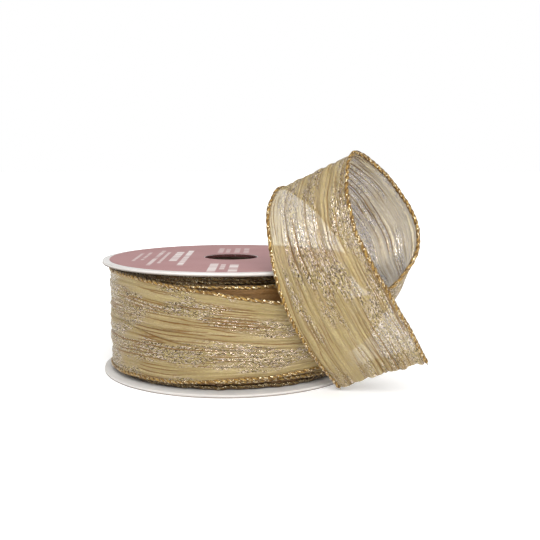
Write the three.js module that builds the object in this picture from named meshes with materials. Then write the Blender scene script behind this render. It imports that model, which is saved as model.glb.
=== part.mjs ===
// A paperboard spool of sheer wired-edge gift ribbon, lying on its lower flange with the axis upright.
// The ribbon is wound counter-clockwise seen from above. Its last turn stands a little loose on the
// wound ribbon, flares outwards where it leaves, folds upwards on the right of the spool, goes over a
// crest and comes down in front, with one corner of the cut end close to the table.
// Millimetres, +Z up. The origin is below the middle of the whole object, spool and free ribbon.

import * as THREE from 'three';

// Where the spool's axis stands in the object's frame
const SPOOL_AXIS_X = -8.75;
const SPOOL_AXIS_Y = 12.2;

// Paperboard spool
const SPOOL_HEIGHT = 43.2;
const FLANGE_RADIUS = 50;
const FLANGE_THICKNESS = 1.2;
const FLANGE_EDGE_BEVEL = 0.25;
const HUB_HOLE_RADIUS = 10.2;
const CORE_RADIUS = 21;
const CORE_WALL = 2.2;
const GLUE_RING_SIZE = 1.6;
const LABEL_RADIUS = 47.3;
const LABEL_HOLE_RADIUS = 10.6;
const LABEL_THICKNESS = 0.15;

// Tape that holds the ribbon's inner end to the core
const TAPE_THICKNESS = 0.2;
const TAPE_HEIGHT = 24;
const TAPE_ANGLE = Math.PI / 3;

// Ribbon: a cloth strip between two thread-bound edges, each with a fine wire inside
const RIBBON_WIDTH = 38;
const CLOTH_THICKNESS = 0.6;
const EDGE_RADIUS = 0.9;
const EDGE_BORE_RADIUS = 0.5;
const WIRE_RADIUS = 0.2;

// Wound ribbon
const WOUND_INNER_RADIUS = 21.6;
const WOUND_OUTER_RADIUS = 45.6;
const WOUND_LOW = 1.6;
const WOUND_HIGH = 40.4;

// The last turn, from where it leaves the wound ribbon's surface to where the free ribbon starts
const TURN_RADIUS = 46.8;
const TURN_LOW = 2;
const TURN_HIGH = 40.4;
const TURN_SPAN = THREE.MathUtils.degToRad(336);
const EXIT_ANGLE = THREE.MathUtils.degToRad(-66);
const EXIT_HIGH = 33.6;
const EXIT_FLARE = 6;
const FLARE_SPAN = THREE.MathUtils.degToRad(74);

// The free ribbon's route, as chosen points of its two edges, measured from the spool's axis
const STATIONS = [
  { upper: [21.5, -48.2, 33.6], lower: [19, -43, 2] },
  { upper: [32, -52, 34.3], lower: [33.5, -38, 5] },
  { upper: [43, -57.5, 36], lower: [48.5, -31, 15] },
  { upper: [53, -60, 39], lower: [56, -27, 25] },
  { upper: [60, -59, 45.5], lower: [53, -24.5, 31.5] },
  { upper: [64.5, -55.5, 53], lower: [45.8, -28, 38.5] },
  { upper: [64, -52.5, 61.5], lower: [42.6, -25.5, 48.2] },
  { upper: [58.5, -52, 71], lower: [35, -25, 59] },
  { upper: [50.5, -55.5, 79.5], lower: [26, -29, 67.5] },
  { upper: [42.5, -61.5, 83.5], lower: [18, -35, 71] },
  { upper: [39.5, -69, 74], lower: [14, -43.5, 62] },
  { upper: [42, -73.8, 60], lower: [15.5, -49.8, 47] },
  { upper: [47, -72.8, 50], lower: [18.5, -52.8, 35.5] },
  { upper: [53.5, -69.4, 39], lower: [23.5, -52, 24] },
  { upper: [60.5, -65.2, 27.5], lower: [30.5, -46.8, 12.5] },
  { upper: [67.5, -60.5, 15.5], lower: [39, -40, 1.2] },
];
const EXIT_CLOTH_END = 2; // stations
const FOLD_STATION = 4;

// Clearances
const GAP = 0.3;
const JOINT_GAP = 0.05; // left free at each side of a flexing line, in stations of the route

// Facets, and steps along the ribbon's pieces
const RING_FACETS = 64;
const CORE_FACETS = 36;
const TAPE_FACETS = 8;
const EDGE_FACETS = 6;
const WIRE_FACETS = 4;
const TURN_STEPS = 48;
const EXIT_CLOTH_STEPS = 6;
const FOLD_CLOTH_STEPS = 10;
const EXIT_EDGE_STEPS = 14;
const LOOP_EDGE_STEPS = 36;

const MATERIALS = {
  paperboard: { color: 0xd9d6d2, roughness: 0.85, metalness: 0 },
  paper: { color: 0xc98083, roughness: 0.6, metalness: 0 },
  greyboard: { color: 0x9a8570, roughness: 0.9, metalness: 0 },
  glue: { color: 0xe6dcb8, roughness: 0.45, metalness: 0 },
  tape: { color: 0xe8e2cf, roughness: 0.3, metalness: 0 },
  cloth: { color: 0xc9b98c, roughness: 0.45, metalness: 0.35 },
  thread: { color: 0xa9782b, roughness: 0.4, metalness: 0.6 },
  wire: { color: 0xb8b3a4, roughness: 0.3, metalness: 1 },
};

// --- Shapes -------------------------------------------------------------------------------------

// A ring about +Z whose profile is a closed outline of [radius, height] points
function ringGeometry(profile, facets) {
  const outline = profile.map(([radius, height]) => new THREE.Vector2(radius, height));
  outline.push(outline[0].clone());
  const geometry = new THREE.LatheGeometry(outline, facets);
  geometry.rotateX(Math.PI / 2);
  return geometry;
}

function plainRing(innerRadius, outerRadius, low, high, facets = RING_FACETS) {
  const profile = [
    [innerRadius, low],
    [outerRadius, low],
    [outerRadius, high],
    [innerRadius, high],
  ];
  return ringGeometry(profile, facets);
}

// A paperboard disc with a hub hole and a slightly crushed rim
function flangeRing(low) {
  const high = low + FLANGE_THICKNESS;
  const rim = FLANGE_RADIUS - FLANGE_EDGE_BEVEL;
  const profile = [
    [HUB_HOLE_RADIUS, low],
    [rim, low],
    [FLANGE_RADIUS, low + FLANGE_EDGE_BEVEL],
    [FLANGE_RADIUS, high - FLANGE_EDGE_BEVEL],
    [rim, high],
    [HUB_HOLE_RADIUS, high],
  ];
  return ringGeometry(profile, RING_FACETS);
}

// A fillet of glue in the corner between a flange and the core's inner wall
function glueRing(flangeFace, direction) {
  const wall = CORE_RADIUS - CORE_WALL - GAP;
  const face = flangeFace + direction * GAP;
  const corner = [wall, face];
  const onFlange = [wall - GLUE_RING_SIZE, face];
  const onCore = [wall, face + direction * GLUE_RING_SIZE];
  const profile = direction > 0 ? [onFlange, corner, onCore] : [onCore, corner, onFlange];
  return ringGeometry(profile, CORE_FACETS);
}

// A short curved strip of tape round the core
function tapeStrip() {
  const inner = CORE_RADIUS + TAPE_THICKNESS / 2;
  const shape = new THREE.Shape();
  shape.absarc(0, 0, inner + TAPE_THICKNESS, 0, TAPE_ANGLE, false);
  shape.absarc(0, 0, inner, TAPE_ANGLE, 0, true);
  const settings = { depth: TAPE_HEIGHT, bevelEnabled: false, curveSegments: TAPE_FACETS };
  const geometry = new THREE.ExtrudeGeometry(shape, settings);
  geometry.translate(0, 0, (SPOOL_HEIGHT - TAPE_HEIGHT) / 2);
  return geometry;
}

// --- Ribbon routes ------------------------------------------------------------------------------

// A stretch of ribbon between two edges. upperAt and lowerAt give the edges' points along the
// stretch, and a section's x runs across the ribbon, from the lower edge to the upper one.
class RibbonRoute extends THREE.Curve {
  constructor(upperAt, lowerAt, from, to) {
    super();
    this.upperAt = upperAt;
    this.lowerAt = lowerAt;
    this.from = from;
    this.to = to;
  }

  place(t) {
    return this.from + t * (this.to - this.from);
  }

  getPoint(t) {
    const place = this.place(t);
    return this.upperAt(place).add(this.lowerAt(place)).multiplyScalar(0.5);
  }

  getSpacedPoints(divisions) {
    return this.getPoints(divisions);
  }

  computeFrenetFrames(segments) {
    const frames = { tangents: [], normals: [], binormals: [] };
    for (let i = 0; i <= segments; i += 1) {
      const t = i / segments;
      const place = this.place(t);
      const across = this.upperAt(place).sub(this.lowerAt(place)).divideScalar(RIBBON_WIDTH);
      const tangent = this.getTangent(t);
      frames.tangents.push(tangent);
      frames.normals.push(across);
      frames.binormals.push(new THREE.Vector3().crossVectors(tangent, across).normalize());
    }
    return frames;
  }
}

function upperTurnEdge(angle) {
  const flare = THREE.MathUtils.clamp(1 - (EXIT_ANGLE - angle) / FLARE_SPAN, 0, 1);
  const radius = TURN_RADIUS + EXIT_FLARE * flare ** 3;
  const height = THREE.MathUtils.lerp(TURN_HIGH, EXIT_HIGH, flare);
  return new THREE.Vector3(radius * Math.cos(angle), radius * Math.sin(angle), height);
}

function lowerTurnEdge(angle) {
  return new THREE.Vector3(TURN_RADIUS * Math.cos(angle), TURN_RADIUS * Math.sin(angle), TURN_LOW);
}

function edgeThroughStations(edge) {
  const points = STATIONS.map((station) => new THREE.Vector3(...station[edge]));
  const curve = new THREE.CatmullRomCurve3(points, false, 'catmullrom', 0.5);
  return (place) => curve.getPoint(place / (STATIONS.length - 1));
}

const upperFreeEdge = edgeThroughStations('upper');
const lowerFreeEdge = edgeThroughStations('lower');

function turnRoute() {
  const end = EXIT_ANGLE - 2 * GAP / TURN_RADIUS;
  return new RibbonRoute(upperTurnEdge, lowerTurnEdge, EXIT_ANGLE - TURN_SPAN, end);
}

function freeRoute(from, to) {
  return new RibbonRoute(upperFreeEdge, lowerFreeEdge, from, to);
}

// --- Ribbon pieces ------------------------------------------------------------------------------

function clothSection() {
  const half = RIBBON_WIDTH / 2 - 2 * EDGE_RADIUS - GAP;
  const shape = new THREE.Shape();
  shape.moveTo(-half, -CLOTH_THICKNESS / 2);
  shape.lineTo(half, -CLOTH_THICKNESS / 2);
  shape.lineTo(half, CLOTH_THICKNESS / 2);
  shape.lineTo(-half, CLOTH_THICKNESS / 2);
  shape.closePath();
  return shape;
}

function polygonPoints(centreX, radius, facets) {
  const points = [];
  for (let i = 0; i < facets; i += 1) {
    const angle = (i / facets) * 2 * Math.PI;
    points.push(new THREE.Vector2(centreX + radius * Math.cos(angle), radius * Math.sin(angle)));
  }
  return points;
}

// side is 1 for the upper edge and -1 for the lower one
function edgeCentre(side) {
  return side * (RIBBON_WIDTH / 2 - EDGE_RADIUS);
}

function threadSection(side) {
  const shape = new THREE.Shape(polygonPoints(edgeCentre(side), EDGE_RADIUS, EDGE_FACETS));
  const bore = polygonPoints(edgeCentre(side), EDGE_BORE_RADIUS, EDGE_FACETS);
  shape.holes.push(new THREE.Path(bore.reverse()));
  return shape;
}

function wireSection(side) {
  return new THREE.Shape(polygonPoints(edgeCentre(side), WIRE_RADIUS, WIRE_FACETS));
}

function sweep(section, route, steps) {
  return new THREE.ExtrudeGeometry(section, { extrudePath: route, steps, bevelEnabled: false });
}

// --- Assembly -----------------------------------------------------------------------------------

const spool = new THREE.Group();
spool.position.set(SPOOL_AXIS_X, SPOOL_AXIS_Y, 0);

function addPiece(name, geometry, materialName) {
  const mesh = new THREE.Mesh(geometry, new THREE.MeshStandardMaterial(MATERIALS[materialName]));
  mesh.name = name;
  spool.add(mesh);
}

function addEdges(prefix, route, steps) {
  for (const [edgeName, side] of [['upper', 1], ['lower', -1]]) {
    addPiece(`${prefix}_${edgeName}_edge`, sweep(threadSection(side), route, steps), 'thread');
    addPiece(`${prefix}_${edgeName}_wire`, sweep(wireSection(side), route, steps), 'wire');
  }
}

// Paperboard spool
const upperFlangeLow = SPOOL_HEIGHT - FLANGE_THICKNESS;
addPiece('bottom_flange', flangeRing(0), 'paperboard');
addPiece('top_flange', flangeRing(upperFlangeLow), 'paperboard');
const labelHigh = SPOOL_HEIGHT + LABEL_THICKNESS;
addPiece('top_label', plainRing(LABEL_HOLE_RADIUS, LABEL_RADIUS, SPOOL_HEIGHT, labelHigh), 'paper');
const coreBore = CORE_RADIUS - CORE_WALL;
const coreRing = plainRing(coreBore, CORE_RADIUS, FLANGE_THICKNESS, upperFlangeLow, CORE_FACETS);
addPiece('core_tube', coreRing, 'greyboard');
addPiece('lower_glue_ring', glueRing(FLANGE_THICKNESS, 1), 'glue');
addPiece('upper_glue_ring', glueRing(upperFlangeLow, -1), 'glue');
addPiece('start_tape', tapeStrip(), 'tape');

// Wound ribbon: the cloth, and the stacked coils of its two thread-bound edges
const edgeHeight = 2 * EDGE_RADIUS;
const woundRing = (low, high) => plainRing(WOUND_INNER_RADIUS, WOUND_OUTER_RADIUS, low, high);
addPiece('wound_cloth', woundRing(WOUND_LOW + edgeHeight + GAP, WOUND_HIGH - edgeHeight - GAP), 'cloth');
addPiece('wound_lower_edge', woundRing(WOUND_LOW, WOUND_LOW + edgeHeight), 'thread');
addPiece('wound_upper_edge', woundRing(WOUND_HIGH - edgeHeight, WOUND_HIGH), 'thread');

// Last turn
addPiece('outer_turn_cloth', sweep(clothSection(), turnRoute(), TURN_STEPS), 'cloth');
addEdges('outer_turn', turnRoute(), TURN_STEPS);

// Free ribbon from the last turn to the fold
const exitRoute = freeRoute(2 * JOINT_GAP, FOLD_STATION - JOINT_GAP);
const exitCloth = sweep(clothSection(), freeRoute(exitRoute.from, EXIT_CLOTH_END), EXIT_CLOTH_STEPS);
const foldRoute = freeRoute(EXIT_CLOTH_END + JOINT_GAP, exitRoute.to);
addPiece('exit_cloth', exitCloth, 'cloth');
addPiece('fold_cloth', sweep(clothSection(), foldRoute, FOLD_CLOTH_STEPS), 'cloth');
addEdges('exit', exitRoute, EXIT_EDGE_STEPS);

// Loop beyond the fold: up the back, over the crest and down the front to the cut end
const loopStart = FOLD_STATION + JOINT_GAP;
const loopEnd = STATIONS.length - 1;
const loopCloths = [
  { name: 'back_cloth', from: loopStart, to: 6, steps: 12 },
  { name: 'rise_cloth', from: 6, to: 8, steps: 5 },
  { name: 'crest_cloth', from: 8, to: 10, steps: 8 },
  { name: 'front_cloth', from: 10, to: 12.5, steps: 6 },
  { name: 'end_cloth', from: 12.5, to: loopEnd, steps: 5 },
];
for (const { name, from, to, steps } of loopCloths) {
  const start = from === loopStart ? from : from + JOINT_GAP;
  addPiece(name, sweep(clothSection(), freeRoute(start, to), steps), 'cloth');
}
addEdges('loop', freeRoute(loopStart, loopEnd), LOOP_EDGE_STEPS);

export default spool;
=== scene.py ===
"""A paperboard spool of sheer, crinkled gift ribbon with wired gold edges, on a pale floor.

Shapes are worked out in millimetres from the spool's axis, and turned into metres in the part's
frame when a mesh is made. The ribbon is one surface between two edges. A place on it is a number:
0 is where the ribbon leaves the spool, -1, -2, ... are steps back round the last turn, and 1, 2, ...
are the chosen stations of the free ribbon, up to 15 at the cut end.
"""

import math

import bpy
import numpy as np
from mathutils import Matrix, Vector


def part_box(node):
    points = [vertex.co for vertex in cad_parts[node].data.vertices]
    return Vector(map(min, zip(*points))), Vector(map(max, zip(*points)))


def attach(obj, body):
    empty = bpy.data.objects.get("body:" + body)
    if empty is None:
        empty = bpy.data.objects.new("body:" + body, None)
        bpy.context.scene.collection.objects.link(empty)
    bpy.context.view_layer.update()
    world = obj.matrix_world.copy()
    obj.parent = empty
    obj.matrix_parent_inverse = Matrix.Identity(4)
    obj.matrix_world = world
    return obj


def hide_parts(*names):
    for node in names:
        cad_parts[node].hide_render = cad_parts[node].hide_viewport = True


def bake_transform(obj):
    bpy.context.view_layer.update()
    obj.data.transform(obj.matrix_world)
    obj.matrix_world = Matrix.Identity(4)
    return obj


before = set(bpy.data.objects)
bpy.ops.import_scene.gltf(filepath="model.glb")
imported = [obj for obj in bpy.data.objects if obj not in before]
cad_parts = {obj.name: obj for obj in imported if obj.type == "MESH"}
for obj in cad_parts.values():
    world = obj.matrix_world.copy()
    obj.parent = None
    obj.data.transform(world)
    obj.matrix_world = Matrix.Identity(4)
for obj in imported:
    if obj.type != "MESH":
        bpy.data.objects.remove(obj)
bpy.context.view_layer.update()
SCENE = bpy.context.scene

MM = 0.001
TAU = 2 * math.pi


def middle(node):
    low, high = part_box(node)
    return (low + high) / 2


AXIS = np.array([middle("bottom_flange").x, middle("bottom_flange").y, 0.0])
FLANGE_LOW, FLANGE_HIGH = (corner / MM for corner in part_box("bottom_flange"))
TOP_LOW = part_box("top_flange")[0] / MM
LABEL_LOW, LABEL_HIGH = (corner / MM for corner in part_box("top_label"))
CORE_LOW, CORE_HIGH = (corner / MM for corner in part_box("core_tube"))
FLANGE_RADIUS = (FLANGE_HIGH.x - FLANGE_LOW.x) / 2
FLANGE_THICKNESS = FLANGE_HIGH.z - FLANGE_LOW.z
LABEL_RADIUS = (LABEL_HIGH.x - LABEL_LOW.x) / 2
CORE_RADIUS = (CORE_HIGH.x - CORE_LOW.x) / 2
HUB_HOLE_RADIUS = 10.2
LABEL_HOLE_RADIUS = 10.6
CORE_WALL = 2.2
SEAM_DEPTH = 0.12
BOARD_CORNER = 0.22
RIM_DEPTH = 0.12  # how deep into a flange its rim and hole are marked

# Ribbon, as in the part
RIBBON_WIDTH = 38.0
TURN_RADIUS = 46.8
TURN_LOW = 2.0
TURN_HIGH = 40.4
EXIT_ANGLE = math.radians(-66)
EXIT_HIGH = 33.6
EXIT_FLARE = 6.0
FLARE_SPAN = math.radians(74)
EDGE_ARCH = 0.9
TURN_STEP = 0.28  # radians of the last turn in one step of place
UPPER_STATIONS = [
    (21.5, -48.2, 33.6), (32, -52, 34.3), (43, -57.5, 36), (53, -60, 39),
    (60, -59, 45.5), (64.5, -55.5, 53), (64, -52.5, 61.5), (58.5, -52, 71),
    (50.5, -55.5, 79.5), (42.5, -61.5, 83.5), (39.5, -69, 74), (42, -73.8, 60),
    (47, -72.8, 50), (53.5, -69.4, 39), (60.5, -65.2, 27.5), (67.5, -60.5, 15.5),
]
LOWER_STATIONS = [
    (19, -43, 2), (33.5, -38, 5), (48.5, -31, 15), (56, -27, 25),
    (53, -24.5, 31.5), (45.8, -28, 38.5), (42.6, -25.5, 48.2), (35, -25, 59),
    (26, -29, 67.5), (18, -35, 71), (14, -43.5, 62), (15.5, -49.8, 47),
    (18.5, -52.8, 35.5), (23.5, -52, 24), (30.5, -46.8, 12.5), (39, -40, 1.2),
]
FIRST_STEP = -28
TUCK_STEP = -21.0  # before this place the last turn lies under the ribbon that leaves
TUCK_DEPTH = 1.0
TUCK_RISE = 1.9
TUCK_DROP = 2.2  # how far the tucked start's upper edge dips

# Cloth
CLOTH_THICKNESS = 0.14
CLOTH_MARGIN = 0.6  # how far the cloth's border lies inside the bound edge
ACROSS_STEP = 0.25
ALONG_STEP = 0.85
EDGE_INSET = 0.9
CORD_RADIUS = 0.74
CORD_SIDES = 18
CORD_STEP = 0.3
CORD_PITCH = 2.3
CORD_LOBES = 2
WIRE_RADIUS = 0.2
WIRE_SIDES = 8
WIRE_END = 1.4  # how far the wires stick out of the cut end
FOLD_BULGE = 2.8  # the cloth stands out between its edges at the fold
FOLD_BULGE_PLACE = 3.6
FOLD_BULGE_SPREAD = 1.3
HEM_DEPTH = 7.5  # how much of the cut end is turned under
HEM_GAP = 0.4
RAGGED_FROM = 14.4  # the cut end is ragged from this place on
FREE_EASE = 0.30  # how much fainter creases are where the ribbon isn't wound tight

SEGMENTS = [("turn", -27.0, -0.9), ("exit", -0.9, 2.2), ("fold", 2.2, 6.0), ("loop", 6.0, 15.0)]


# --- Small helpers ---


def smooth(x):
    x = np.clip(x, 0, 1)
    return x * x * (3 - 2 * x)


def unit(vectors):
    return vectors / np.maximum(np.linalg.norm(vectors, axis=-1, keepdims=True), 1e-9)


def around(count):
    """Angles all the way round, evenly spaced."""
    return np.linspace(0, TAU, count, endpoint=False)


def outward(angle):
    """Level directions away from the axis."""
    return np.stack([np.cos(angle), np.sin(angle), 0 * angle], -1)


def noise(seed, x, y):
    """Smooth noise from -1 to 1 on a lattice whose cells are 1 by 1."""
    table = np.random.default_rng(seed).uniform(-1, 1, (256, 64))
    column, row = np.floor(x).astype(int), np.floor(y).astype(int)
    fx, fy = smooth(x - column), smooth(y - row)

    def at(i, j):
        return table[(column + i) % 256, (row + j) % 64]

    near = at(0, 0) * (1 - fx) + at(1, 0) * fx
    far = at(0, 1) * (1 - fx) + at(1, 1) * fx
    return near * (1 - fy) + far * fy


def wave(seed, x):
    return noise(seed, x, np.full_like(x, 0.5))


def make_piece(name, points, faces, material, fields=None, uv=None, normals=None):
    """A mesh object from points in millimetres from the axis. fields are point attributes."""
    mesh = bpy.data.meshes.new(name)
    mesh.from_pydata((np.asarray(points) * MM + AXIS).tolist(), [], faces)
    mesh.polygons.foreach_set("use_smooth", np.ones(len(mesh.polygons), bool))
    for field, values in (fields or {}).items():
        values = np.asarray(values, np.float32)
        kind = "FLOAT_VECTOR" if values.ndim == 2 else "FLOAT"
        attribute = mesh.attributes.new(field, kind, "POINT")
        attribute.data.foreach_set("vector" if values.ndim == 2 else "value", values.ravel())
    if uv is not None:
        corners = np.zeros(len(mesh.loops), int)
        mesh.loops.foreach_get("vertex_index", corners)
        layer = mesh.uv_layers.new(name="ribbon")
        layer.data.foreach_set("uv", np.asarray(uv, np.float32)[corners].ravel())
    mesh.materials.append(material)
    mesh.update()
    if normals is not None:
        mesh.normals_split_custom_set_from_vertices(np.asarray(normals).tolist())
    piece = bpy.data.objects.new(name, mesh)
    SCENE.collection.objects.link(piece)
    return piece


def grid_faces(rows, columns, start=0, flip=False, close_rows=False, close_columns=False):
    """Quads over a grid of points whose columns run fastest."""
    i = np.arange(rows if close_rows else rows - 1)[:, None]
    j = np.arange(columns if close_columns else columns - 1)[None, :]
    below, right = (i + 1) % rows, (j + 1) % columns
    corners = [i * columns + j, i * columns + right, below * columns + right, below * columns + j]
    quads = np.stack([corner.ravel() for corner in np.broadcast_arrays(*corners)], -1) + start
    return (quads[:, ::-1] if flip else quads).tolist()


def sheet_piece(name, points, normals, material, fields, uv, ring=False):
    """A thin closed sheet on a grid of points [along, across], half its thickness to each side."""
    rows, columns = points.shape[:2]
    count = rows * columns
    front = (points + normals * CLOTH_THICKNESS / 2).reshape(-1, 3)
    back = (points - normals * CLOTH_THICKNESS / 2).reshape(-1, 3)
    faces = grid_faces(rows, columns, flip=True, close_rows=ring)
    faces += grid_faces(rows, columns, start=count, close_rows=ring)
    last = rows if ring else rows - 1
    for i in range(last):
        here, there = i * columns, ((i + 1) % rows) * columns
        faces.append((here, here + count, there + count, there))
        end = columns - 1
        faces.append((here + end, there + end, there + end + count, here + end + count))
    if not ring:
        for j in range(columns - 1):
            faces.append((j, j + 1, j + 1 + count, j + count))
            far = (rows - 1) * columns + j
            faces.append((far + 1, far, far + count, far + 1 + count))
    both = {key: np.concatenate([value.reshape(count, -1)] * 2) for key, value in fields.items()}
    both = {key: value[:, 0] if value.shape[1] == 1 else value for key, value in both.items()}
    shading = np.concatenate([normals.reshape(-1, 3), -normals.reshape(-1, 3)])
    all_uv = np.concatenate([uv.reshape(-1, 2)] * 2)
    points = np.concatenate([front, back])
    return make_piece(name, points, faces, material, both, all_uv, shading)


def cord_piece(name, path, side, along, material, radius, sides, lobes, pitch, ring=False, seed=0):
    """A twisted cord, or a plain wire if it has no lobes. side is a direction across the path."""
    count = len(path)
    if ring:
        tangent = unit(np.roll(path, -1, 0) - np.roll(path, 1, 0))
    else:
        tangent = unit(np.gradient(path, axis=0))
    first = unit(side - tangent * (side * tangent).sum(-1, keepdims=True))
    second = np.cross(tangent, first)
    angle = around(sides)[None, :]
    # The lobes are its plies. Their lay and thickness are a little uneven.
    uneven_lay = 0.55 * wave(seed + 9, along / 5)
    twist = TAU * (along + uneven_lay)[:, None] / pitch
    lobe = np.abs(np.cos(lobes * (angle - twist / lobes) / 2)) if lobes else np.ones((count, sides))
    uneven = noise(seed + 5, along[:, None] / 0.9 + 0 * angle, angle * 2 + 7) if lobes else 0
    reach = radius * (0.70 + 0.32 * lobe + 0.09 * uneven) if lobes else radius * lobe
    turned = np.cos(angle)[..., None] * first[:, None] + np.sin(angle)[..., None] * second[:, None]
    points = (path[:, None] + turned * reach[..., None]).reshape(-1, 3)
    faces = grid_faces(count, sides, close_rows=ring, close_columns=True)
    groove = (1 - lobe).ravel()
    place = np.stack(np.broadcast_arrays(along[:, None], angle, 0 * angle), -1).reshape(-1, 3)
    if not ring:
        points = np.concatenate([points, path[:1], path[-1:]])
        groove = np.concatenate([groove, [0.6, 0.6]])
        place = np.concatenate([place, place[:1], place[-1:]])
        for j in range(sides):
            k = (j + 1) % sides
            start, end = count * sides, (count - 1) * sides
            faces.append((start, k, j))
            faces.append((start + 1, end + j, end + k))
    return make_piece(name, points, faces, material, {"groove": groove, "cord_mm": place})


# --- Materials ---


class Nodes:
    """A material's node tree, built by short calls. Each call gives the node's output."""

    def __init__(self, name, roughness=0.5, metallic=0.0, **settings):
        self.material = bpy.data.materials.new(name)
        self.material.use_nodes = True
        self.tree = self.material.node_tree
        self.shader = self.tree.nodes["Principled BSDF"]
        self.set(Roughness=roughness, Metallic=metallic)
        self.set(**{key.replace("_", " "): value for key, value in settings.items()})

    def set(self, **values):
        for key, value in values.items():
            self.put(self.shader.inputs[key], value)

    def put(self, socket, value):
        if isinstance(value, bpy.types.NodeSocket):
            self.tree.links.new(value, socket)
        elif value is not None:
            socket.default_value = value

    def node(self, kind, inputs=(), output=0, **settings):
        node = self.tree.nodes.new("ShaderNode" + kind)
        for key, value in settings.items():
            setattr(node, key, value)
        for key, value in dict(inputs).items():
            self.put(node.inputs[key], value)
        return node.outputs[output]

    def painted(self, color):
        """The finished material, with this base colour."""
        self.put(self.shader.inputs["Base Color"], color)
        return self.material

    def math(self, operation, a, b=None, clamp=False):
        inputs = {i: value for i, value in enumerate((a, b)) if value is not None}
        return self.node("Math", inputs, operation=operation, use_clamp=clamp)

    def times(self, a, b):
        return self.math("MULTIPLY", a, b)

    def apart(self, a, b):
        return self.math("ABSOLUTE", self.math("SUBTRACT", a, b))

    def part(self, vector, index):
        return self.node("SeparateXYZ", {0: vector}, output=index)

    def ramp(self, value, low, high, first, second):
        """From the first colour to the second as value goes from low to high."""
        return self.mix(self.span(value, low, high), rgb(*first), rgb(*second))

    def mix(self, factor, a, b):
        inputs = {0: factor, 6: a, 7: b}
        return self.node("Mix", inputs, output=2, data_type="RGBA")

    def blend(self, factor, a, b):
        inputs = {0: factor, 2: a, 3: b}
        return self.node("Mix", inputs, output=0, data_type="FLOAT")

    def span(self, value, low, high, to_low=0.0, to_high=1.0):
        inputs = {0: value, 1: low, 2: high, 3: to_low, 4: to_high}
        return self.node("MapRange", inputs, interpolation_type="SMOOTHSTEP")

    def attribute(self, name, vector=False):
        return self.node("Attribute", output=1 if vector else 2, attribute_name=name)

    def place(self):
        return self.node("TexCoord", output=3)

    def stretch(self, vector, x, y, z=1.0):
        inputs = {0: vector, 1: (x, y, z)}
        return self.node("VectorMath", inputs, operation="MULTIPLY")

    def noise(self, vector, scale, detail=2.0, roughness=0.5):
        if isinstance(scale, tuple):
            vector, scale = self.stretch(vector, *scale), 1.0
        inputs = {"Vector": vector, "Scale": scale, "Detail": detail, "Roughness": roughness}
        return self.node("TexNoise", inputs)

    def cells(self, vector, x, y):
        """A random colour for each cell of a stretched pattern."""
        inputs = {"Vector": self.stretch(vector, x, y), "Scale": 1.0}
        return self.node("TexVoronoi", inputs, output=1)

    def bump(self, height, strength, distance, normal=None):
        inputs = {"Height": height, "Strength": strength, "Distance": distance, "Normal": normal}
        return self.node("Bump", inputs)


def rgb(red, green, blue):
    return (red, green, blue, 1.0)


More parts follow.
